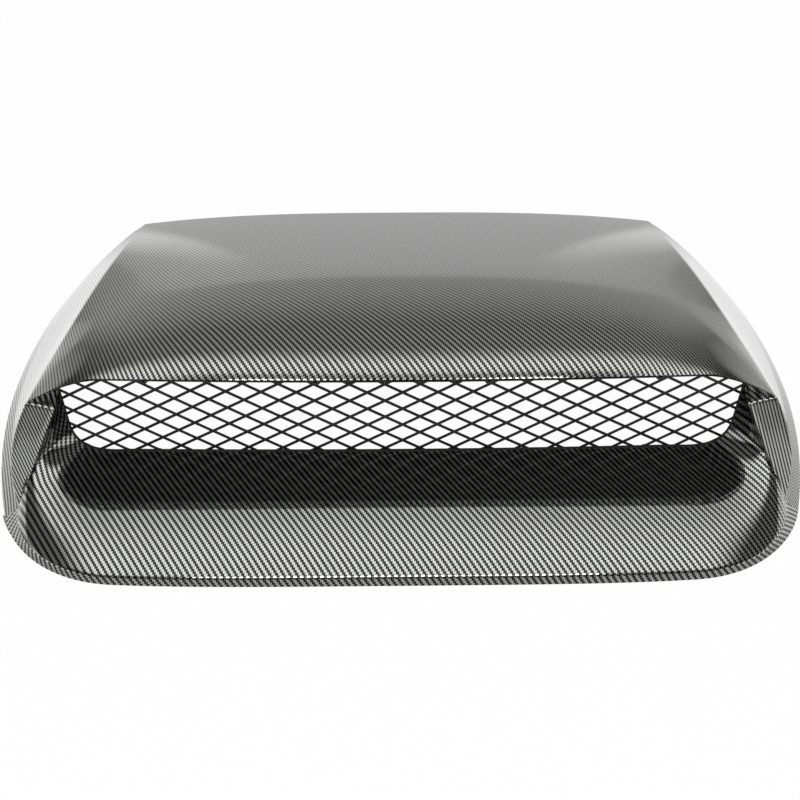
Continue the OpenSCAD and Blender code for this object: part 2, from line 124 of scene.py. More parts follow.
def smooth_step(t):
    t = np.clip(t, 0, 1)
    return t * t * (3 - 2 * t)


def bezier(a, b, c, d, t):
    t = np.asarray(t, float)[..., None]
    a, b, c, d = (np.asarray(p, float) for p in (a, b, c, d))
    return a * (1 - t) ** 3 + 3 * b * t * (1 - t) ** 2 + 3 * c * t ** 2 * (1 - t) + d * t ** 3


def unit(vectors):
    return vectors / np.linalg.norm(vectors, axis=-1)[..., None]


def point(x, v, z):
    """Stacks across, distance behind the front edge and height into an array of points."""
    x, v, z = np.broadcast_arrays(x, v, z)
    return np.stack([x, v, z], axis=-1).astype(float)


def mirrored_loop(half):
    """A closed loop of flat points from its right half, which starts and ends in the middle."""
    return np.concatenate([half, half[::-1][1:-1] * [-1, 1]])


def moved_loop(loop, amount):
    """A closed loop of flat points, moved to its left by an amount."""
    ahead = unit(np.roll(loop, -1, 0) - np.roll(loop, 1, 0))
    return loop + amount * np.stack([-ahead[:, 1], ahead[:, 0]], -1)


class ScoopForm:
    """The scoop's surfaces in millimetres: across, behind the front edge, above the lower edge."""

    lip_crown = 3.0
    lip_flat = 250.0
    pillar_top_x = 284.0
    pillar_top_z = 91.0
    front_bow = 4.0
    front_flat = 235.0
    rim_back = 2.0
    foot_h = 10.0
    rear_narrow = 67.0
    rear_bow = 15.5
    rear_inset = 6.0
    widest_back = 265.5
    foot_draw = 34.0
    knee_v = 157.5
    knee_r = 60.0
    nose_len = 9.0
    side_bulge = 4.0
    front_bulge = 14.0
    window_bow = 12.0
    window_drop = 9.0
    web_drop = 3.0
    sill_end_h = 32.5
    ramp_swell = 1.9
    seat_w = 10.0
    seat_t = 2.5
    seat_proud = 0.3
    screw_pitch = 140.0
    screw_l = 9.0
    boss_d = 8.0
    boss_sunk = 0.8
    mesh_gap = 0.1
    mesh_rim_t = 2.8
    flange_w = 20.0
    flange_low = 1.25
    flange_t = 2.5
    # How much wider the lowest band is in front, and the lengths over which that wears off, the
    # creases draw in, the crown changes shape and the sides lose their swell
    band_flare = 2.7
    band_run = 40.0
    crease_run = 150.0
    crown_run = 160.0
    swell_run = 60.0
    # Lengths over which the wall thins out toward the lip and toward the feet of the pillars
    lip_taper = 16.0
    foot_taper = 60.0
    # Where the tows start to crowd together across the top, and how much they do at the sides
    crowd_from = 170.0
    side_crowding = 2.0

    def __init__(self, sizes):
        for name in ScoopSizes.__annotations__:
            setattr(self, name, getattr(sizes, name) / MM)
        self.pillar_lean = sizes.pillar_lean
        self.half_w = HALF_WIDTH / MM
        self.base_l = BASE_LENGTH / MM
        self.top_h = TOP_HEIGHT / MM
        self.rear_x = self.half_w - self.rear_narrow
        self.rear_v = self.base_l - self.rear_bow
        self.crease_v0 = self.plane_v(self.crease_h)
        self.crease_v1 = self.rear_v - self.rear_inset + 2
        self.pillar_inner_top = point(
            self.pillar_top_x, self.plane_v(self.pillar_top_z), self.pillar_top_z)

    def base_x(self, v):
        v = np.asarray(v, float)
        fore = (self.widest_back - v) / (self.widest_back - self.pillar_foot)
        aft = np.clip((v - self.widest_back) / (self.rear_v - self.widest_back), 0, None)
        return np.where(v < self.widest_back,
                        self.half_w - self.foot_draw * fore ** 2,
                        self.half_w - (self.half_w - self.rear_x) * aft ** 2.1)

    def plane_v(self, z):
        """The leaning plane of the pillar faces."""
        return self.pillar_foot + math.tan(self.pillar_lean) * z

    def lip_z(self, u):
        x = np.abs(u) * self.crease_front
        past = np.clip(x - self.lip_flat, 0, None)
        droop = (past / (self.crease_front - self.lip_flat)) ** 1.5
        return (self.lip_h - self.lip_crown * np.minimum(1, x / self.lip_flat) ** 2
                - (self.lip_h - self.lip_crown - self.crease_h) * droop)

    def lip_v(self, u):
        return self.plane_v(self.lip_z(u)) - self.lip_bow * (1 - u * u)

    def lip(self, u):
        return point(u * self.crease_front, self.lip_v(u), self.lip_z(u))

    def crease_x(self, v):
        front = np.exp(-(v - self.crease_v0) / self.crease_run)
        return mix(self.crease_rear, self.crease_front, front)

    def crease_z(self, v):
        run = np.clip(v - self.crease_v0, 0, None) / (self.crease_v1 - self.crease_v0)
        return self.crease_h - (self.crease_h - self.crease_rear_h) * run ** 1.8

    def centre_z(self, v):
        def bend(q):
            return np.sqrt(q * q + self.knee_r ** 2) - self.knee_r
        fall = bend(np.clip(v - self.knee_v, 0, None))
        whole = bend(self.base_l - self.rear_inset - self.knee_v)
        return self.top_h - (self.top_h - self.rear_h) * fall / whole

    def crowned_z(self, u, v):
        power = 2.6 + 2.6 * np.exp(-np.clip(v - self.crease_v0, 0, None) / self.crown_run)
        rise = 1 - np.abs(u) ** power
        return self.crease_z(v) + (self.centre_z(v) - self.crease_z(v)) * rise

    def top_z(self, u, v):
        """The crowned top, whose nose rounds down to the lip."""
        drop = self.crowned_z(u, self.lip_v(u)) - self.lip_z(u)
        return self.crowned_z(u, v) - drop * np.exp(-(v - self.lip_v(u)) / self.nose_len)

    def top_end_v(self, u):
        end = self.base_l - self.rear_inset
        return end - (end - self.crease_v1) * np.abs(u) ** 4

    def top_point(self, u, s):
        v = mix(self.lip_v(u), self.top_end_v(u), s)
        return point(u * self.crease_x(v), v, self.top_z(u, v))

    def side_v(self, s):
        return mix(self.pillar_foot, self.rear_v, s)

    def base_side(self, s):
        return point(self.base_x(self.side_v(s)), self.side_v(s), 0)

    def band_side(self, s):
        """The upper edge of the lowest band of the sides."""
        crease = self.top_point(1.0, s)
        base = self.base_side(s)
        share = np.minimum(self.foot_h / crease[..., 2], 0.6)
        flare = self.band_flare * np.exp(-(self.side_v(s) - self.pillar_foot) / self.band_run)
        inset = np.minimum(self.side_band + flare, 0.6 * (base[..., 0] - crease[..., 0]))
        return point(base[..., 0] - inset, mix(base[..., 1], crease[..., 1], share),
                     share * crease[..., 2])

    def side_panel(self, s, t):
        """The swollen side panel from the crease (t = 0) to the lowest band (t = 1)."""
        crease = self.top_point(1.0, s)
        band = self.band_side(s)
        front = self.front_bulge * np.exp(-(self.side_v(s) - self.pillar_foot) / self.swell_run)
        out = (self.side_bulge + front) * (1 - s ** 6)
        middle = (crease + band) / 2 + point(out, 0, 0)
        t = t[..., None]
        return crease * (1 - t) ** 2 + 2 * middle * t * (1 - t) + band * t * t

    def rear_base(self, u):
        return point(u * self.rear_x, self.base_l - self.rear_bow * np.abs(u) ** 4, 0)

    def front_flat_part(self, t, back, z):
        """The straight part of the front edge, from its end (t = 0.5) to the middle (t = 1)."""
        s = 2 * (1 - t)
        return point(self.front_flat * s, self.front_bow * s ** 4 + back, z)

    def rim_point(self, t):
        """The rim from the foot of a pillar (t = 0) round the front corner to the middle (t = 1)."""
        t = np.asarray(t, float)
        foot = self.band_side(np.float64(0))
        round_part = bezier(
            [foot[0], foot[1], self.foot_h],
            [self.crease_front + 14, self.pillar_foot * 0.69, 9],
            [self.crease_front - 12, self.front_bow + 6.5, self.rim_h],
            [self.front_flat, self.front_bow + self.rim_back, self.rim_h], np.minimum(1, t * 2))
        return np.where((t < 0.5)[..., None], round_part,
                        self.front_flat_part(t, self.rim_back, self.rim_h))

    def front_base(self, t):
        """The lower edge of the shell below the rim, in step with it."""
        t = np.asarray(t, float)
        side = float(self.base_x(self.pillar_foot))
        round_part = bezier(
            [side, self.pillar_foot, 0], [side - 8, self.pillar_foot * 0.71, 0],
            [self.crease_front - 11, self.front_bow + 5.5, 0],
            [self.front_flat, self.front_bow, 0], np.minimum(1, t * 2))
        return np.where((t < 0.5)[..., None], round_part, self.front_flat_part(t, 0, 0))

    def window_v(self, x):
        return self.window_back + self.window_bow * (x / self.window_x) ** 2

    def window_top(self, u):
        """The upper edge of the window as across and height."""
        x = u * self.window_x
        return x, self.lip_z(x / self.crease_front) - self.window_drop

    def window_low(self, t):
        """The window's lower corner and sill, in step with the front edge."""
        t = np.asarray(t, float)
        corner = bezier(
            [self.window_x - 2, self.sill_h + 21], [self.window_x - 4, self.sill_h - 1],
            [self.window_x - 18, self.sill_end_h - 4.5], [self.front_flat, self.sill_end_h],
            np.minimum(1, t * 2))
        s = 2 * (1 - t)
        x = np.where(t < 0.5, corner[..., 0], self.front_flat * s)
        z = np.where(t < 0.5, corner[..., 1], mix(self.sill_end_h, self.sill_h, 1 - s * s))
        return x, z

    def mouth_ribs(self, lip_u, web_q, inner_q, front_t):
        """Mouth points and window points of the duct's ribs, and how early each climbs."""
        corner_x, corner_z = self.window_top(1.0)
        low_x, low_z = self.window_low(0.0)
        top_x, top_z = self.window_top(lip_u)
        front_x, front_z = self.window_low(front_t)
        foot = self.rim_point(0.0)
        mouth = np.concatenate([
            self.lip(lip_u),
            mix(self.lip(1.0), self.pillar_inner_top, web_q[:, None]),
            mix(self.pillar_inner_top, foot, inner_q[:, None]),
            self.rim_point(front_t)])
        x = np.concatenate([top_x, np.full(len(web_q), corner_x),
                            mix(corner_x, low_x, inner_q), front_x])
        web_z = corner_z - self.web_drop
        z = np.concatenate([top_z, mix(corner_z, web_z, web_q), mix(web_z, low_z, inner_q), front_z])
        early = np.concatenate([np.zeros(len(lip_u) + len(web_q)),
                                smooth_step((inner_q - 0.3) / 0.7), np.ones(len(front_t))])
        return mouth, point(x, self.window_v(x), z), early

    def rise(self, t, early):
        """Share of a rib's rise: the ramp climbs near the rim, and is flatter toward the window."""
        return t + early * self.ramp_swell * t * (1 - t) ** 2

    def crowding(self, x):
        """Length of cloth gained toward the shoulders, where the tows are pushed together."""
        past = np.clip(np.abs(x) - self.crowd_from, 0, None)
        return (self.side_crowding - 1) * past ** 2 / (2 * (self.crease_front - self.crowd_from))

    def wall_share(self, points):
        """Share of the full wall at each point: it tapers where two panels close to a thin edge."""
        def nearest(ends):
            return np.min(np.linalg.norm(points[:, None] - ends[None], axis=-1), axis=1)
        lip = self.lip(np.linspace(-1, 1, 121))
        foot = self.rim_point(0.0)
        feet = np.array([foot, foot * [-1, 1, 1]])
        share = np.minimum(nearest(lip) / self.lip_taper, nearest(feet) / self.foot_taper)
        return np.clip(share, 0.1, 1)

    def window_loop(self, grow, below_lid):
        """The window's edge as across and height, moved outward and kept below the top's face."""
        top_x, top_z = self.window_top(np.sin(np.linspace(0, math.pi / 2, 41)))
        low_x, low_z = self.window_low(np.linspace(0, 1, 61))
        side = np.linspace(0, 1, 8)[1:-1]
        x = np.concatenate([top_x, mix(top_x[-1], low_x[0], side), low_x])
        z = np.concatenate([top_z, mix(top_z[-1] - self.web_drop, low_z[0], side), low_z])
        grown = moved_loop(mirrored_loop(np.stack([x, z], -1)), grow)
        v = self.window_v(grown[:, 0])
        lid = self.top_z(np.clip(np.abs(grown[:, 0]) / self.crease_x(v), 0, 1), v)
        grown[:, 1] = np.minimum(grown[:, 1], lid - below_lid)
        return grown

    def window_ring(self, inner, outer, front, back, below_lid):
        """Points and faces of a flat bowed ring round the window."""
        loops = []
        for grow, depth in ((inner, front), (outer, front), (outer, back), (inner, back)):
            loop = self.window_loop(grow, below_lid)
            loops.append(point(loop[:, 0], self.window_v(loop[:, 0]) + depth, loop[:, 1]))
        return np.concatenate(loops), ring_faces(len(loops[0]), 4)

    def base_outline(self, inset):
        """The outline of the base, moved inward, as across and distance behind the front edge."""
        front = self.front_base(np.linspace(1, 0, 61))
        side = self.base_side(np.linspace(0, 1, 41))[1:]
        rear = self.rear_base(np.linspace(1, 0, 31))[1:]
        return moved_loop(mirrored_loop(np.concatenate([front, side, rear])[:, :2]), inset)

    def screw_place(self, n):
        """Where screw n, counted from 0, meets the mesh rim: four above and four below."""
        x = (n % 4 - 1.5) * self.screw_pitch
        inward = self.seat_w / 2 + 0.5
        if n < 4:
            z = float(self.window_top(x / self.window_x)[1]) + inward
        else:
            z = mix(self.sill_h, self.sill_end_h, (x / self.front_flat) ** 2) - inward
        return x, self.window_v(x) + self.seat_t + self.mesh_gap + self.mesh_rim_t, z

    def place(self, points):
        """Millimetres of this form to metres of the frame."""
        moved = np.asarray(points, float) + [0, -self.base_l / 2, EDGE_GAP / MM]
        return moved * MM


def ring_faces(count, loops):
    """Faces between closed loops of points, each loop joined to the next and the last to the first."""
    return [(a * count + k, a * count + (k + 1) % count,
             (a + 1) % loops * count + (k + 1) % count, (a + 1) % loops * count + k)
            for a in range(loops) for k in range(count)]


def spaced(length, first, step, count, last):
    """Places along a length: a first cell, even fine steps, a growing run, and a last cell."""
    fine = [0.0] + [first + step * k for k in range(count + 1)]
    start = fine[-1]
    end = length - last
    coarse = max(4, int((end - start) / (step * 4)))
    run = [start + (end - start) * ((k + 1) / coarse) ** 1.25 for k in range(coarse)]
    return np.array(fine + run + [length]) / length


def edged(length, first, count):
    """Places down a panel: a first and a last cell of one width, and even cells between."""
    start = np.minimum(0.3, first / np.asarray(length, float))
    even = np.linspace(0, 1, count - 1)
    middle = mix(start[..., None], 1 - start[..., None], even)
    ends = np.zeros(start.shape + (1,))
    return np.concatenate([ends, middle, ends + 1], axis=-1)


def arc_along(points, axis, parts):
    """Running length along an axis of a grid of points, counting only some coordinates."""
    steps = np.diff(points, axis=axis)[..., parts]
    length = np.linalg.norm(steps, axis=-1)
    pad = [(0, 0)] * length.ndim
    pad[axis] = (1, 0)
    return np.cumsum(np.pad(length, pad), axis=axis)


class Skin:
    """Collects grids of points into one mesh whose patches share their border points."""

    def __init__(self):
        self.points = []
        self.index = {}
        self.faces = []
        self.weave = []
        self.patch = []

    def vertex(self, p):
        key = (round(p[0], 3), round(p[1], 3), round(p[2], 3))
        if key not in self.index:
            self.index[key] = len(self.points)
            self.points.append(p)
        return self.index[key]

    def add_grid(self, points, weave_u, weave_v, patch):
        """Adds a grid (rows, columns) with its weave coordinates, and its mirror image."""
        for side in (1, -1):
            grid = points * [side, 1, 1]
            cloth = np.stack([weave_u * side, weave_v], -1)
            ids = [[self.vertex(p) for p in row] for row in grid]
            for i in range(len(ids) - 1):
                for j in range(len(ids[0]) - 1):
                    corners = [(i, j), (i + 1, j), (i + 1, j + 1), (i, j + 1)]
                    if side < 0:
                        corners.reverse()
                    self.add_face([ids[a][b] for a, b in corners],
                                  [cloth[a][b] for a, b in corners], patch)

    def add_face(self, ids, cloth, patch):
        kept = [k for k in range(len(ids)) if ids[k] != ids[k - 1]]
        if len(kept) < 3 or len(set(ids[k] for k in kept)) < len(kept):
            return
        self.faces.append([ids[k] for k in kept])
        self.weave.append([cloth[k] for k in kept])
        self.patch.append(patch)

    def to_mesh(self, name, form, edge_weights, edge_round):
        """Builds the mesh, with a bevel weight on each edge between two patches."""
        bm = bmesh.new()
        uv = bm.loops.layers.uv.new("weave")
        weight = bm.edges.layers.float.new("bevel_weight_edge")
        wall = bm.verts.layers.deform.verify()
        verts = [bm.verts.new(p) for p in form.place(self.points)]
        for vert, share in zip(verts, form.wall_share(np.array(self.points))):
            vert[wall][0] = float(share)
        patch_of = {}
        for ids, cloth, patch in zip(self.faces, self.weave, self.patch):
            face = bm.faces.new([verts[k] for k in ids])
            face.smooth = True
            patch_of[face] = patch
            for loop, c in zip(face.loops, cloth):
                loop[uv].uv = (c[0] * MM, c[1] * MM)
        bmesh.ops.recalc_face_normals(bm, faces=bm.faces)
        highest = max(patch_of, key=lambda f: f.calc_center_median().z)
        highest.normal_update()
        if highest.normal.z < 0:
            bmesh.ops.reverse_faces(bm, faces=bm.faces)
        for edge in bm.edges:
            if len(edge.link_faces) == 2:
                pair = frozenset(patch_of[f] for f in edge.link_faces)
                # A rounding never takes more than the cells beside its edge can give
                room = min(f.calc_area() for f in edge.link_faces) / max(edge.calc_length(), 1e-6)
                edge[weight] = min(edge_weights.get(pair, 0.0), 0.85 * room / edge_round)
        mesh = bpy.data.meshes.new(name)
        bm.to_mesh(mesh)
        bm.free()
        return mesh


def link_piece(name, mesh):
    piece = bpy.data.objects.new(name, mesh)
    bpy.context.scene.collection.objects.link(piece)
    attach(piece, "root")
    return piece


def apply_modifiers(piece):
    """Replaces the piece's mesh by what its modifiers make of it."""
    bpy.context.view_layer.update()
    evaluated = piece.evaluated_get(bpy.context.evaluated_depsgraph_get())
    mesh = bpy.data.meshes.new_from_object(evaluated)
    piece.modifiers.clear()
    piece.data = mesh
    return mesh


def solid_from(name, points, faces, material):
    mesh = bpy.data.meshes.new(name)
    mesh.from_pydata([tuple(p) for p in points], [], faces)
    bm = bmesh.new()
    bm.from_mesh(mesh)
    bmesh.ops.recalc_face_normals(bm, faces=bm.faces)
    bm.to_mesh(mesh)
    bm.free()
    mesh.materials.append(material)
    return mesh


def linear(hex_colour):
    """An sRGB hex value as linear red, green, blue and alpha."""
    channels = [int(hex_colour[k:k + 2], 16) / 255 for k in (1, 3, 5)]
    return tuple(c / 12.92 if c <= 0.04045 else ((c + 0.055) / 1.055) ** 2.4
                 for c in channels) + (1.0,)


def add_node(material, kind, inputs=None, **settings):
    """Adds a node with its settings. An input is a value, or a socket to link from."""
    tree = material.node_tree
    node = tree.nodes.new(kind)
    for name, value in settings.items():
        setattr(node, name, value)
    for key, value in (inputs or {}).items():
        if isinstance(value, bpy.types.NodeSocket):
            tree.links.new(value, node.inputs[key])
        else:
            node.inputs[key].default_value = value
    return node


def maths(owner, operation, a, b=0.0, c=0.0):
    """Adds a maths node and returns its result."""
    return add_node(owner, "ShaderNodeMath", {0: a, 1: b, 2: c}, operation=operation).outputs[0]


def map_range(owner, value, start, end, low, high, kind="LINEAR"):
    """Adds a node that carries a value from the range start to end into low to high."""
    return add_node(owner, "ShaderNodeMapRange", {
        "Value": value, "From Min": start, "From Max": end, "To Min": low, "To Max": high},
        interpolation_type=kind).outputs[0]


def mix_colours(owner, factor, a, b):
    """Adds a node that mixes two colours and returns its result."""
    node = add_node(owner, "ShaderNodeMix", {"Factor": factor, "A": a, "B": b}, data_type="RGBA")
    return [s for s in node.outputs if s.type == "RGBA"][0]


def seen_and_mirrored(owner):
    """Whether a ray comes from the camera or through glass, and whether off a glossy surface."""
    path = add_node(owner, "ShaderNodeLightPath")
    seen = maths(owner, "MAXIMUM", path.outputs["Is Camera Ray"], path.outputs["Is Transmission Ray"])
    return seen, path.outputs["Is Glossy Ray"]


def new_material(name):
    material = bpy.data.materials.new(name)
    material.use_nodes = True
    material.node_tree.nodes.clear()
    return material


def finish_material(material, shader):
    add_node(material, "ShaderNodeOutputMaterial", {"Surface": shader.outputs[0]})
    return material


def lacquered_carbon_twill(finish):
    """Carbon fibre cloth in a 2 x 2 twill under clear lacquer: grey and black dashes on a
    diagonal, with a mirror gloss. The twill is real, but its fixed contrast is painted: both
    tows are the same black fibre, the grey of the lengthwise tows is a painted sheen and the
    black of the crosswise tows a painted shade."""
    m = new_material("lacquered_carbon_twill")
    cloth = add_node(m, "ShaderNodeUVMap", uv_map="weave").outputs["UV"]
    axes = add_node(m, "ShaderNodeSeparateXYZ", {0: cloth})

    def tow(axis, width, colour, edge_shade_share):
        """The number of the tow at each place, and its colour, which darkens toward its edges: partly
        the dark gaps between tows, partly painted shade on the rounded tow.
        """
        place = maths(m, "DIVIDE", axes.outputs[axis], width)
        off_middle = maths(m, "ABSOLUTE", maths(m, "SUBTRACT", maths(m, "FRACT", place), 0.5))
        # Painted shade on the rounded sides of the tow, together with the dark gap between tows
        edge_shade = maths(m, "POWER", maths(m, "MULTIPLY", off_middle, 2.0), 3.0)
        edge = tuple(c * edge_shade_share for c in colour) + (1,)
        shaded = mix_colours(m, maths(m, "SUBTRACT", 1.0, edge_shade), edge, (*colour, 1))
        return maths(m, "FLOOR", place), shaded

    # The twill pattern is real; the lengthwise tows carry a painted sheen and the crosswise tows a
    # painted shade
    column, light = tow("X", finish.tow_x, finish.painted_sheen_tow, 0.45)
    row, dark = tow("Y", finish.tow_y, finish.painted_shade_tow, 0.5)
    # In each row two tows of four lie on top, one step further along than in the row before
    step = maths(m, "FLOORED_MODULO", maths(m, "ADD", column, row), 4.0)
    colour = mix_colours(m, maths(m, "LESS_THAN", step, 1.5), dark, light)
    shader = add_node(m, "ShaderNodeBsdfPrincipled", {
        "Base Color": colour, "Metallic": 0.9, "Roughness": 0.09, "IOR": 1.5,
        "Coat Weight": 0.6, "Coat Roughness": finish.coat_roughness, "Coat IOR": 1.5})
    return finish_material(m, shader)


def plain_surface(name, colour, roughness, metallic=0.0):
    m = new_material(name)
    settings = {"Base Color": linear(colour), "Roughness": roughness, "Metallic": metallic}
    return finish_material(m, add_node(m, "ShaderNodeBsdfPrincipled", settings))


def glass_mat_laminate():
    """The bare back of the moulding, chopped glass mat in black resin: dull and mottled."""
    m = new_material("glass_mat_laminate")
    place = add_node(m, "ShaderNodeTexCoord").outputs["Object"]
    # Clumps of the mat are about 6 mm across
    clumps = add_node(m, "ShaderNodeTexNoise", {"Vector": place, "Scale": 1 / (6 * MM), "Detail": 3.0})
    colour = mix_colours(m, clumps.outputs["Fac"], linear("#1b1c1c"), linear("#353737"))
    shader = add_node(m, "ShaderNodeBsdfPrincipled", {"Base Color": colour, "Roughness": 0.6})
    return finish_material(m, shader)


def build_skin(form):
    """The outer skin of the shell, with a fine cell beside each edge for its rounding."""
    columns = 56
    i = np.arange(columns + 1) / columns
    # Even steps across with a finer run toward the drooping corners
    lip_u = mix(i, np.sin(i * math.pi / 2), 0.55)
    first = 2.6
    # About the length of the top, from the lip to the rear
    top_l = form.base_l - 110
    rows = spaced(top_l, first, 1.5, 13, last=4.0)
    side_rows = 15
    side_height = np.linalg.norm(form.top_point(1.0, rows) - form.band_side(rows), axis=-1)
    down = edged(side_height, first, side_rows)
    inner_q = down[0]
    web_q = np.array([0.2, 0.4, 0.6, 0.8])
    front_t = np.concatenate([np.linspace(0, 0.5, 31), np.linspace(0.5, 1, 25)[1:]])
    band_rows = np.linspace(0, 1, 4)

    skin = Skin()
    u, s = np.meshgrid(lip_u, rows)
    top = form.top_point(u, s)
    centre_arc = arc_along(top[:, :1], 0, [1, 2])[:, 0]
    weave_u = arc_along(top, 1, [0, 2]) + form.crowding(top[..., 0])
    column_arc = arc_along(top, 0, [1, 2])
    # The cloth is laid out from the row about 30 mm behind the lip, where it lies across the top
    ref = int(np.searchsorted(rows, 30 / top_l))
    weave_v = column_arc - column_arc[ref] + np.interp(top[ref, :, 1], top[:, 0, 1], centre_arc)
    skin.add_grid(top, weave_u, weave_v, "top")

    side = form.side_panel(rows[:, None], down)
    side_u = weave_u[:, -1:] + form.side_crowding * (side[..., 0] - side[:, :1, 0])
    side_w = weave_v[:, -1:] + side[..., 1] - side[:, :1, 1]
    skin.add_grid(side, side_u, side_w, "side")

    band_top = form.band_side(rows)
    band_foot = form.base_side(rows)
    band = mix(band_top[:, None], band_foot[:, None], band_rows[None, :, None])
    band_u = side_u[:, -1:] + form.side_crowding * (band[..., 0] - band[:, :1, 0])
    band_w = side_w[:, -1:] + band[..., 1] - band[:, :1, 1]
    skin.add_grid(band, band_u, band_w, "band")

    crease_end = form.top_point(lip_u, 1.0)
    foot_end = form.rear_base(lip_u)
    side_column = np.concatenate([side[-1], band[-1][1:]])
    share = 1 - (side_column[:, 2] / side_column[0, 2])
    rear = mix(crease_end[:, None], foot_end[:, None], share[None, :, None])
    rear[-1] = side_column
    blend = np.linspace(0, 1, len(lip_u)) ** 12
    corner_shift = side_column - mix(crease_end[-1], foot_end[-1], share[:, None])
    rear[:-1] += blend[:-1, None, None] * corner_shift[None]
    rear_u = np.broadcast_to(weave_u[-1][:, None], rear.shape[:2])
    rear_w = weave_v[-1][:, None] + arc_along(rear, 1, [1, 2])
    skin.add_grid(rear[::-1], rear_u[::-1], rear_w[::-1], "rear")

    inner = mix(form.pillar_inner_top, form.rim_point(0.0), inner_q[:, None])
    outer = side[0]
    m = np.linspace(0, 1, 6)
    pillar = mix(inner[:, None], outer[:, None], m[None, :, None])
    pillar_u = form.side_crowding * pillar[..., 0]
    pillar_w = weave_v[0, -1] + (pillar[..., 2] - form.crease_h) / math.cos(form.pillar_lean)
    skin.add_grid(pillar[:, ::-1], pillar_u[:, ::-1], pillar_w[:, ::-1], "pillar")

    rim_top = form.rim_point(front_t)
    rim_foot = form.front_base(front_t)
    rim = mix(rim_top[:, None], rim_foot[:, None], band_rows[None, :, None])
    rim_arc = arc_along(rim_top[::-1], 0, [0, 1])[::-1]
    rim_u = np.broadcast_to(rim_arc[:, None], rim.shape[:2])
    skin.add_grid(rim[::-1], rim_u[::-1], rim[::-1, :, 2], "rim")

    mouth, window, early = form.mouth_ribs(lip_u, web_q, inner_q, front_t[1:])
    depth_rows = 26
    ribs = []
    for a, b, share in zip(mouth, window, early):
        length = np.linalg.norm(b - a)
        start = min(0.25, first / length)
        t = np.concatenate([[0.0], np.linspace(start, 1, depth_rows)])
        rib = mix(a, b, t[:, None])
        rib[:, 2] = mix(a[2], b[2], form.rise(t, share))
        ribs.append(rib)
    duct = np.array(ribs)
    # The cloth runs on up the duct's walls, measured from the ramp's middle line
    floor_z = np.interp(duct[..., 1], duct[-1, :, 1], duct[-1, :, 2])
    duct_u = duct[..., 0] + 0.6 * np.clip(duct[..., 2] - floor_z, 0, None)
    duct_w = duct[..., 1] + 0.2 * duct[..., 2]
    breaks = [0, len(lip_u) - 1, len(lip_u) + len(web_q), len(duct) - 1]
    for name, a, b in zip(("roof", "web", "duct"), breaks[:-1], breaks[1:]):
        ribs = slice(a, b + 1)
        skin.add_grid(duct[ribs], duct_u[ribs], duct_w[ribs], name)
    return skin


# Share of the widest rounding along the edge between two patches
EDGE_WEIGHTS = {frozenset(pair.split()): weight for pair, weight in {
    "top roof": 1.0,
    "top side": 0.8,
    "side band": 0.6,
    "top rear": 0.8,
    "rear side": 0.5,
    "rear band": 0.5,
    "side pillar": 0.6,
    "duct pillar": 0.8,
    "web pillar": 0.3,
    "web duct": 0.5,
    "roof web": 0.4,
    "rim duct": 1.0,
}.items()}


class SCOOP_OT_shell(bpy.types.Operator):
    """Makes the moulded shell with its ducted mouth, and puts it in place of its plain solid"""

    bl_idname = "scoop.shell"
    bl_label = "Moulded shell"

    def execute(self, context):
        sizes = context.scene.scoop_sizes
        form = ScoopForm(sizes)
        mesh = build_skin(form).to_mesh("shell_skin", form, EDGE_WEIGHTS, sizes.edge_round)
        mesh.materials.append(lacquered_carbon_twill(context.scene.scoop_finish))
        mesh.materials.append(glass_mat_laminate())
        shell = link_piece("shell_skin", mesh)
        rounding = shell.modifiers.new("edge_rounding", "BEVEL")
        rounding.limit_method = "WEIGHT"
        rounding.width = sizes.edge_round
        rounding.segments = 4
        rounding.use_clamp_overlap = False
        rounding.loop_slide = True
        shell.vertex_groups.new(name="wall")
        wall = shell.modifiers.new("wall", "SOLIDIFY")
        wall.thickness = sizes.wall
        wall.offset = -1.0
        wall.vertex_group = "wall"
        wall.material_offset = 1
        wall.material_offset_rim = 1
        mesh = apply_modifiers(shell)
        # The moulding is trimmed flat along its lower edge
        for vertex in mesh.vertices:
            vertex.co.z = max(vertex.co.z, EDGE_GAP)
        mesh.set_sharp_from_angle(angle=math.radians(50))
        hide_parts("scoop_shell")
        return {"FINISHED"}


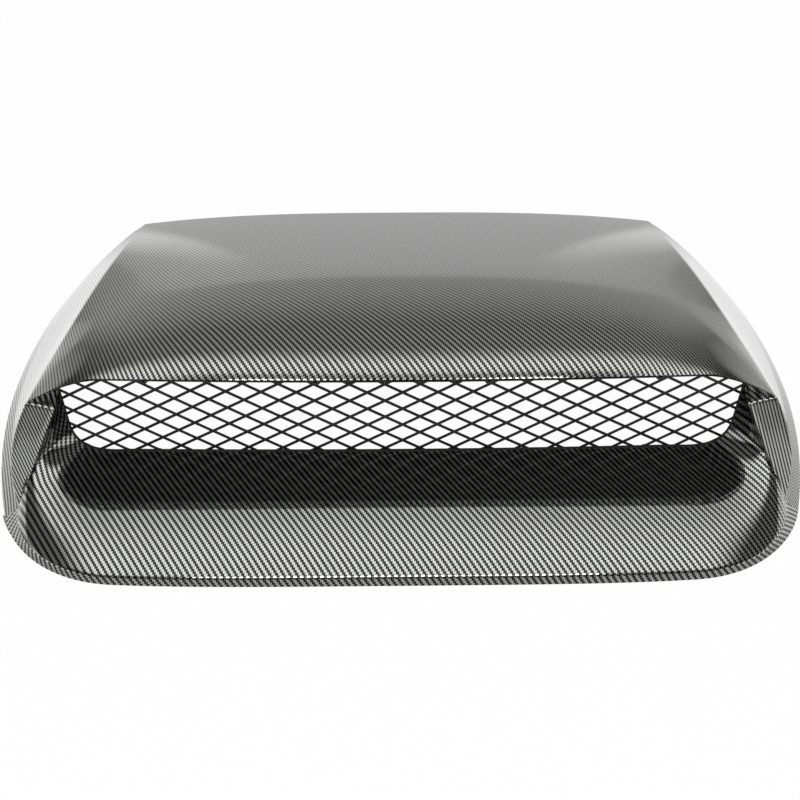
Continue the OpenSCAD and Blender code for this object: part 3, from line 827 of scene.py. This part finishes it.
class SCOOP_OT_underside(bpy.types.Operator):
    """Makes the seat round the window, the screw bosses and the flange under the shell"""

    bl_idname = "scoop.underside"
    bl_label = "Seat, bosses and flange"

    boss_facets = 24
    # Radius of the screw holes, draft of the bosses and their chamfer, in millimetres
    bore = 1.6
    draft = 0.5
    chamfer = 0.6

    def boss(self, form, n):
        """A boss tapers a little from the seat to its end, and has its screw hole in the middle."""
        x, v, z = form.screw_place(n)
        root = v - form.mesh_rim_t - form.mesh_gap - form.boss_sunk
        tip = root - form.screw_l + form.boss_sunk
        boss_r = form.boss_d / 2
        angles = np.arange(self.boss_facets) * 2 * math.pi / self.boss_facets
        loops = []
        for radius, depth in ((self.bore, root), (boss_r + self.draft, root),
                              (boss_r, tip + self.chamfer), (boss_r - self.chamfer, tip),
                              (self.bore, tip)):
            loops.append(point(x + radius * np.cos(angles), depth, z + radius * np.sin(angles)))
        return np.concatenate(loops), ring_faces(self.boss_facets, 5)

    def flange(self, form):
        loops = []
        # Its outer edge leans inward with the wall, and ends inside the wall's thickness
        outer = form.wall * 1.5
        for inset, height in ((outer, 0), (outer + form.flange_t, form.flange_t),
                              (form.flange_w, form.flange_t), (form.flange_w, 0)):
            loop = form.base_outline(inset)
            z = form.flange_low + height - EDGE_GAP / MM
            loops.append(point(loop[:, 0], loop[:, 1], z))
        return np.concatenate(loops), ring_faces(len(loops[0]), 4)

    def execute(self, context):
        form = ScoopForm(context.scene.scoop_sizes)
        laminate = bpy.data.materials["glass_mat_laminate"]
        pieces = {
            "window_seat": form.window_ring(-form.seat_proud, form.seat_w, -form.seat_proud,
                                            form.seat_t, form.wall / 2),
            "base_flange": self.flange(form)}
        for n in range(8):
            pieces["screw_boss_%d" % (n + 1)] = self.boss(form, n)
        for name, (points, faces) in pieces.items():
            mesh = solid_from(name, form.place(points), faces, laminate)
            mesh.shade_smooth()
            mesh.set_sharp_from_angle(angle=math.radians(40))
            link_piece(name, mesh)
        return {"FINISHED"}


class SCOOP_OT_mesh(bpy.types.Operator):
    """Makes the bowed diamond mesh, and puts it in place of its plain solid"""

    bl_idname = "scoop.mesh"
    bl_label = "Diamond mesh"

    # Place of one crossing, the mesh's thickness, the half length of the paths that the strands
    # are cut from, and how far outside the window the rim begins and the strands end, in
    # millimetres
    crossing_x = 0.2
    crossing_z = 97.8
    thickness = 1.7
    path_half = 296.0
    rim_start = 4.5
    strand_end = 5.5
    # 2 makes a strand's section an ellipse, and more makes it squarer
    squareness = 2.8

    def inside(self, loop, x, z):
        """Which points lie inside a closed loop."""
        a = loop
        b = np.roll(loop, -1, 0)
        crosses = (a[:, 1] > z[:, None]) != (b[:, 1] > z[:, None])
        rise = np.where(np.abs(b[:, 1] - a[:, 1]) < 1e-9, 1e-9, b[:, 1] - a[:, 1])
        at = a[:, 0] + (z[:, None] - a[:, 1]) / rise * (b[:, 0] - a[:, 0])
        return (np.sum(crosses & (x[:, None] < at), axis=1) % 2) == 1

    def strand(self, form, x, z, facets):
        """Points and faces of one strand along a path, with a rounded flat section."""
        back = form.seat_t + form.mesh_gap + form.mesh_rim_t / 2
        centre = point(x, form.window_v(x) + back, z)
        ahead = unit(np.gradient(centre, axis=0))
        normal = unit(point(-2 * form.window_bow * x / form.window_x ** 2, 1.0, 0.0))
        wide = np.cross(normal, ahead)
        angles = np.arange(facets) * 2 * math.pi / facets
        flat = 2 / self.squareness
        c = np.sign(np.cos(angles)) * np.abs(np.cos(angles)) ** flat * form.strand_w / 2
        d = np.sign(np.sin(angles)) * np.abs(np.sin(angles)) ** flat * self.thickness / 2
        ring = centre[:, None] + c[None, :, None] * wide[:, None] + d[None, :, None] * normal[:, None]
        last = (len(x) - 1) * facets
        # The faces that would join the last ring to the first one give way to two end caps
        faces = ring_faces(facets, len(x))[:-facets]
        faces += [tuple(reversed(range(facets))), tuple(last + m for m in range(facets))]
        return ring.reshape(-1, 3), faces

    def execute(self, context):
        form = ScoopForm(context.scene.scoop_sizes)
        facets = context.scene.scoop_finish.strand_facets
        front = form.seat_t + form.mesh_gap
        below_lid = form.wall * 1.6
        bound = form.window_loop(self.strand_end, below_lid)
        points, faces = form.window_ring(
            self.rim_start, form.seat_w - 1, front, front + form.mesh_rim_t, below_lid)
        points = list(points)
        slope = form.mesh_pitch_z / form.mesh_pitch_x
        x = np.arange(-self.path_half, self.path_half + 0.01, 2.0)
        reach = int(300 / form.mesh_pitch_x) + 6
        for direction in (1, -1):
            for k in range(-2 * reach, 2 * reach):
                z = self.crossing_z + k * form.mesh_pitch_z + direction * slope * (x - self.crossing_x)
                held = self.inside(bound, x, z)
                starts = np.flatnonzero(np.diff(np.concatenate([[0], held.astype(int), [0]])))
                for a, b in zip(starts[::2], starts[1::2]):
                    # A stub of one or two points has no direction of its own
                    if b - a < 3:
                        continue
                    ring, sides = self.strand(form, x[a:b], z[a:b], facets)
                    faces += [tuple(len(points) + m for m in f) for f in sides]
                    points += list(ring)
        # Expanded aluminium with a satin black powder coat
        coat = plain_surface("powder_coated_mesh", "#060606", 0.38)
        mesh = solid_from("mesh_strands", form.place(points), faces, coat)
        mesh.shade_smooth()
        mesh.set_sharp_from_angle(angle=math.radians(60))
        piece = link_piece("mesh_strands", mesh)
        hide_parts("mesh_grille")
        return {"FINISHED"}


class SCOOP_OT_small_parts(bpy.types.Operator):
    """Gives the screws, the tape and the release film their finishes"""

    bl_idname = "scoop.small_parts"
    bl_label = "Screws, tape and film"

    # The front liner's half length, its distance behind the front edge, its half width, its half
    # width at the tip of the free end, and its thickness, in millimetres
    strip_half = 225.0
    strip_back = 11.0
    strip_wide = 5.0
    tip_wide = 1.5
    film_t = 0.25

    def front_liner(self, form):
        """The front liner's strip and its free end, which bends round and stands out at the left."""
        strip_x = np.linspace(self.strip_half, -self.strip_half, 40)
        strip_v = self.strip_back + form.front_bow * (strip_x / form.front_flat) ** 4
        strip = np.stack([strip_x, strip_v], -1)
        end = bezier([-self.strip_half, self.strip_back + 3], [-270, 10], [-320, 42], [-337.5, 84],
                     np.linspace(0, 1, 30)[1:])
        path = np.concatenate([strip, end])
        wide = np.concatenate([np.full(len(strip), self.strip_wide),
                               np.linspace(self.strip_wide, self.tip_wide, len(end))])
        ahead = unit(np.gradient(path, axis=0))
        across = np.stack([-ahead[:, 1], ahead[:, 0]], -1) * wide[:, None]
        low = -EDGE_GAP / MM
        high = low + self.film_t
        n = len(path)
        points = np.concatenate([point(*(path + across).T, low), point(*(path - across).T, low),
                                 point(*(path - across).T, high), point(*(path + across).T, high)])
        faces = [(a * n + k, a * n + k + 1, (a + 1) % 4 * n + k + 1, (a + 1) % 4 * n + k)
                 for a in range(4) for k in range(n - 1)]
        faces += [(0, n, 2 * n, 3 * n), (4 * n - 1, 3 * n - 1, 2 * n - 1, n - 1)]
        return form.place(points), faces

    def execute(self, context):
        form = ScoopForm(context.scene.scoop_sizes)
        # Black passivated zinc with a low gleam, dull acrylic foam, and a smooth pinkish film
        finishes = {
            "grille_screw": plain_surface("black_zinc_steel", "#3a3b3d", 0.38, metallic=1.0),
            "tape": plain_surface("acrylic_foam", "#3a3b3c", 0.85),
            "liner": plain_surface("release_film", "#8f827e", 0.4)}
        for name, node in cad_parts.items():
            for start, material in finishes.items():
                if name.startswith(start):
                    node.data.materials.clear()
                    node.data.materials.append(material)
        points, faces = self.front_liner(form)
        liner = link_piece("front_liner", solid_from("front_liner", points, faces, finishes["liner"]))
        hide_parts("liner_front")
        return {"FINISHED"}


class SCOOP_OT_stage(bpy.types.Operator):
    """Sets up the floor, the lamp, the pale surroundings and the camera"""

    bl_idname = "scoop.stage"
    bl_label = "Studio"

    # Brightness of the room by the angle in degrees from the rear horizon over the ceiling
    arch_tones = {0: 0.42, 28: 0.34, 45: 0.44, 58: 0.85, 75: 1.35, 95: 1.6, 125: 1.5, 140: 0.3,
                  163: 0.06, 172: 0.2, 180: 0.6}
    # Brightness of the mirrored floor away from the part, and how much of the floor glows
    floor_grey = 0.6
    floor_glow = 0.97

    def floor_material(self):
        """Mirrored in the lacquer the floor is white beside the part, greyer in front of it and
        behind it, and dark where the shell stands over it: a painted shade for the shell's shadow."""
        m = new_material("white_studio_floor")
        axes = add_node(m, "ShaderNodeSeparateXYZ", {
            0: add_node(m, "ShaderNodeTexCoord").outputs["Object"]})
        beside = maths(m, "ABSOLUTE", axes.outputs["X"])
        along = maths(m, "ABSOLUTE", axes.outputs["Y"])
        whiter = map_range(m, beside, HALF_WIDTH - 0.06, HALF_WIDTH - 0.02, 0.0, 1 - self.floor_grey)
        near = map_range(m, axes.outputs["Y"], 0.6, 1.6, 1.0, 0.0)
        tone = maths(m, "MULTIPLY_ADD", whiter, near, self.floor_grey)
        # Under the shell the mirrored floor is painted dark, standing in for the shell's shadow
        clear = maths(m, "MAXIMUM", maths(m, "GREATER_THAN", beside, HALF_WIDTH - 0.035),
                      maths(m, "GREATER_THAN", along, BASE_LENGTH / 2 - 0.11))
        seen, mirrored = seen_and_mirrored(m)
        reflected = maths(m, "MULTIPLY", mirrored, maths(m, "MULTIPLY", tone, clear))
        glow = add_node(m, "ShaderNodeEmission", {
            "Color": (1, 1, 1, 1), "Strength": maths(m, "MAXIMUM", seen, reflected)})
        diffuse = add_node(m, "ShaderNodeBsdfDiffuse", {"Color": linear("#f4f4f4")})
        share = maths(m, "MULTIPLY", maths(m, "MAXIMUM", seen, mirrored), self.floor_glow)
        both = add_node(m, "ShaderNodeMixShader", {
            0: share, 1: diffuse.outputs[0], 2: glow.outputs[0]})
        return finish_material(m, both)

    def floor(self):
        half = 6.0
        mesh = bpy.data.meshes.new("floor")
        mesh.from_pydata([(-half, -half, 0), (half, -half, 0), (half, half, 0), (-half, half, 0)],
                         [], [(0, 1, 2, 3)])
        mesh.materials.append(self.floor_material())
        floor = bpy.data.objects.new("floor", mesh)
        bpy.context.scene.collection.objects.link(floor)

    def surroundings(self, scene):
        world = bpy.data.worlds.new("pale_studio")
        scene.world = world
        world.use_nodes = True
        world.node_tree.nodes.clear()
        toward = add_node(world, "ShaderNodeTexCoord").outputs["Generated"]
        axes = add_node(world, "ShaderNodeSeparateXYZ", {0: toward})
        # The turn goes from 0 at the rear horizon over the ceiling to 1 at the horizon in front
        turn = maths(world, "ARCTAN2", axes.outputs["Z"], axes.outputs["Y"])
        arch = add_node(world, "ShaderNodeValToRGB", {0: maths(world, "DIVIDE", turn, math.pi)})
        stops = arch.color_ramp.elements
        stops[0].position = 0.0
        stops[1].position = 1.0
        for degrees, brightness in self.arch_tones.items():
            share = degrees / 180
            stop = stops[0] if share == 0 else stops[-1] if share == 1 else stops.new(share)
            stop.color = (brightness, brightness, brightness, 1)
        # The ceiling fades toward both sides, where low white walls close the room
        beside = maths(world, "ABSOLUTE", axes.outputs["X"])
        fade = map_range(world, beside, 0.38, 0.62, 1.0, 0.1, "SMOOTHSTEP")
        ceiling = maths(world, "MULTIPLY", arch.outputs["Color"], fade)
        side = map_range(world, beside, 0.35, 0.8, 0.0, 1.0, "SMOOTHSTEP")
        low = map_range(world, axes.outputs["Z"], 0.12, 0.32, 1.0, 0.0, "SMOOTHSTEP")
        room = maths(world, "MAXIMUM", ceiling, maths(world, "MULTIPLY", side, low))
        seen = seen_and_mirrored(world)[0]
        shade = add_node(world, "ShaderNodeBackground", {
            "Color": (1, 1, 1, 1), "Strength": maths(world, "MAXIMUM", seen, room)})
        add_node(world, "ShaderNodeOutputWorld", {"Surface": shade.outputs[0]})

    def lamp(self, name, place, target, width, height, watts):
        data = bpy.data.lights.new(name, "AREA")
        data.shape = "RECTANGLE"
        data.size = width
        data.size_y = height
        data.energy = watts
        lamp = bpy.data.objects.new(name, data)
        lamp.location = place
        lamp.rotation_euler = (Vector(target) - Vector(place)).to_track_quat("-Z", "Y").to_euler()
        bpy.context.scene.collection.objects.link(lamp)

    def camera(self, scene):
        data = bpy.data.cameras.new("camera")
        data.sensor_width = 36.0
        data.lens = 51.75
        camera = bpy.data.objects.new("camera", data)
        camera.location = (-0.0110, -0.8995, 0.6893)
        ahead = Vector((0.0095, 0.7770, -0.6293))
        camera.rotation_euler = ahead.to_track_quat("-Z", "Y").to_euler()
        scene.collection.objects.link(camera)
        scene.camera = camera

    def execute(self, context):
        scene = context.scene
        scene.view_settings.view_transform = "Standard"
        self.floor()
        self.surroundings(scene)
        self.lamp("front_softbox", (0.0, -1.74, 1.18), (0, -0.1, 0.05), 1.1, 0.36, 10)
        self.camera(scene)
        return {"FINISHED"}


class SCOOP_PT_parts(bpy.types.Panel):
    """Lists the scoop's pieces and its main sizes"""

    bl_idname = "SCOOP_PT_parts"
    bl_label = "Bonnet scoop"
    bl_space_type = "VIEW_3D"
    bl_region_type = "UI"
    bl_category = "Scoop"

    def draw(self, context):
        for operator in OPERATORS:
            self.layout.operator(operator.bl_idname)
        for name in ScoopSizes.__annotations__:
            self.layout.prop(context.scene.scoop_sizes, name)
        for name in ScoopFinish.__annotations__:
            self.layout.prop(context.scene.scoop_finish, name)


OPERATORS = (SCOOP_OT_shell, SCOOP_OT_underside, SCOOP_OT_mesh, SCOOP_OT_small_parts, SCOOP_OT_stage)
CLASSES = (ScoopSizes, ScoopFinish) + OPERATORS + (SCOOP_PT_parts,)


def register():
    for cls in CLASSES:
        bpy.utils.register_class(cls)
    bpy.types.Scene.scoop_sizes = PointerProperty(type=ScoopSizes)
    bpy.types.Scene.scoop_finish = PointerProperty(type=ScoopFinish)


def unregister():
    del bpy.types.Scene.scoop_finish
    del bpy.types.Scene.scoop_sizes
    for cls in reversed(CLASSES):
        bpy.utils.unregister_class(cls)


def main():
    register()
    bpy.ops.scoop.shell()
    bpy.ops.scoop.underside()
    bpy.ops.scoop.mesh()
    bpy.ops.scoop.small_parts()
    bpy.ops.scoop.stage()


if __name__ == "__main__":
    main()
